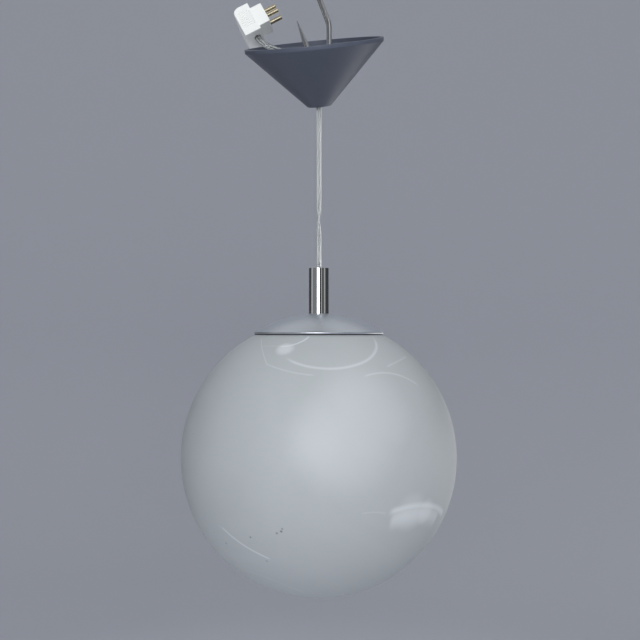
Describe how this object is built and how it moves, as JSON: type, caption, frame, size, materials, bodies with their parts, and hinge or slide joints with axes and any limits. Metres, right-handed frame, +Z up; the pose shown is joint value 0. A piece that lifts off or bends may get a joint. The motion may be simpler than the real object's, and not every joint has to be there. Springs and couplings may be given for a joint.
{
  "type": "pendant lamp",
  "caption": "Glass globe pendant under a spun cap and chrome neck, on clear flat flex with a cone canopy, steel hook and ceiling plug.",
  "frame": {"origin": "seat inside the upper bight of the steel hook, where the lamp hangs from the ceiling", "axes": "+Z up along the hanging line, +X to the right seen from the front, -Y towards the viewer, to whom the cone's open top leans"},
  "size_m": [0.25, 0.25, 0.585],
  "materials": {
    "hook_steel": "bright drawn wire, lightly scratched",
    "hanger_plastic": "moulded, satin",
    "zinc_steel": "bright zinc plate",
    "clear_jacket": "clear soft PVC",
    "tinned_strand": "tinned copper strand",
    "black_rubber": "matt",
    "slate_plastic": "matt moulded, slate grey",
    "neck_chrome": "mirror chrome",
    "white_plastic": "moulded, satin",
    "spun_aluminium": "spun satin with fine turning lines",
    "spring_steel": "blued spring strip",
    "alabaster_glass": "satin opal with pale marbled veins",
    "brass_parts": "bright, nickel-pale",
    "black_insulator": "vitrite, glossy",
    "bulb_cap_metal": "nickel-bright screw cap",
    "bulb_glass": "opal coated",
    "plug_plastic": "moulded, satin white"
  },
  "bodies": {
    "hook": {"suspension_hook": "hook_steel"},
    "flex_hanger": {"cord_hanger": "hanger_plastic", "hanger_clamp_plate": "hanger_plastic", "hanger_screws": "zinc_steel", "flex_held": "clear_jacket", "flex_tail": "clear_jacket", "flex_drop": "clear_jacket", "flex_strands": "tinned_strand", "plug_cover": "plug_plastic", "plug_face": "plug_plastic", "plug_pins": "brass_parts", "plug_terminals": "brass_parts", "plug_cover_screw": "zinc_steel"},
    "canopy_bush": {"canopy_bush": "black_rubber"},
    "canopy": {"canopy": "slate_plastic"},
    "pendant": {"neck_tube": "neck_chrome", "neck_bush": "white_plastic", "cord_grip": "white_plastic", "grip_screw": "zinc_steel", "threaded_nipple": "zinc_steel", "flex_inner": "clear_jacket", "gallery_cap": "spun_aluminium", "cap_seal": "black_rubber", "lock_washer": "zinc_steel", "cap_locknut": "zinc_steel", "clip_plate": "zinc_steel", "spring_clips": "spring_steel", "clip_rivets": "zinc_steel", "holder_cap": "white_plastic", "holder_skirt": "white_plastic", "terminal_insert": "white_plastic", "screw_shell": "brass_parts", "terminal_screws": "zinc_steel", "centre_contact": "brass_parts", "lead_wires": "tinned_strand"},
    "globe": {"globe": "alabaster_glass"},
    "bulb": {"bulb_contact": "brass_parts", "bulb_insulator": "black_insulator", "bulb_cap": "bulb_cap_metal", "bulb_collar": "white_plastic", "bulb_glass": "bulb_glass"}
  },
  "joints": [
    {"name": "hook_swing", "type": "hinge", "parent": "hook", "child": "flex_hanger", "pos_m": [0, 0, -0.092], "axis": [1, 0, 0], "range_deg": [-15, 15]},
    {"name": "canopy_slide", "type": "slide", "parent": "flex_hanger", "child": "canopy_bush", "axis": [0, 0, 1], "range_m": [-0.06, 0]},
    {"name": "canopy_tilt", "type": "hinge", "parent": "canopy_bush", "child": "canopy", "pos_m": [0, 0, -0.1278], "axis": [1, 0, 0], "range_deg": [-23, 3]},
    {"name": "height_adjust", "type": "slide", "parent": "flex_hanger", "child": "pendant", "axis": [0, 0, 1], "range_m": [0, 0.07], "deforming": ["flex_drop", "flex_strands"]},
    {"name": "globe_drop", "type": "slide", "parent": "pendant", "child": "globe", "axis": [0, 0, 1], "range_m": [-0.14, 0], "deforming": ["spring_clips"]},
    {"name": "bulb_unscrew", "type": "slide", "parent": "pendant", "child": "bulb", "axis": [0, 0, 1], "range_m": [-0.03, 0]}
  ]
}
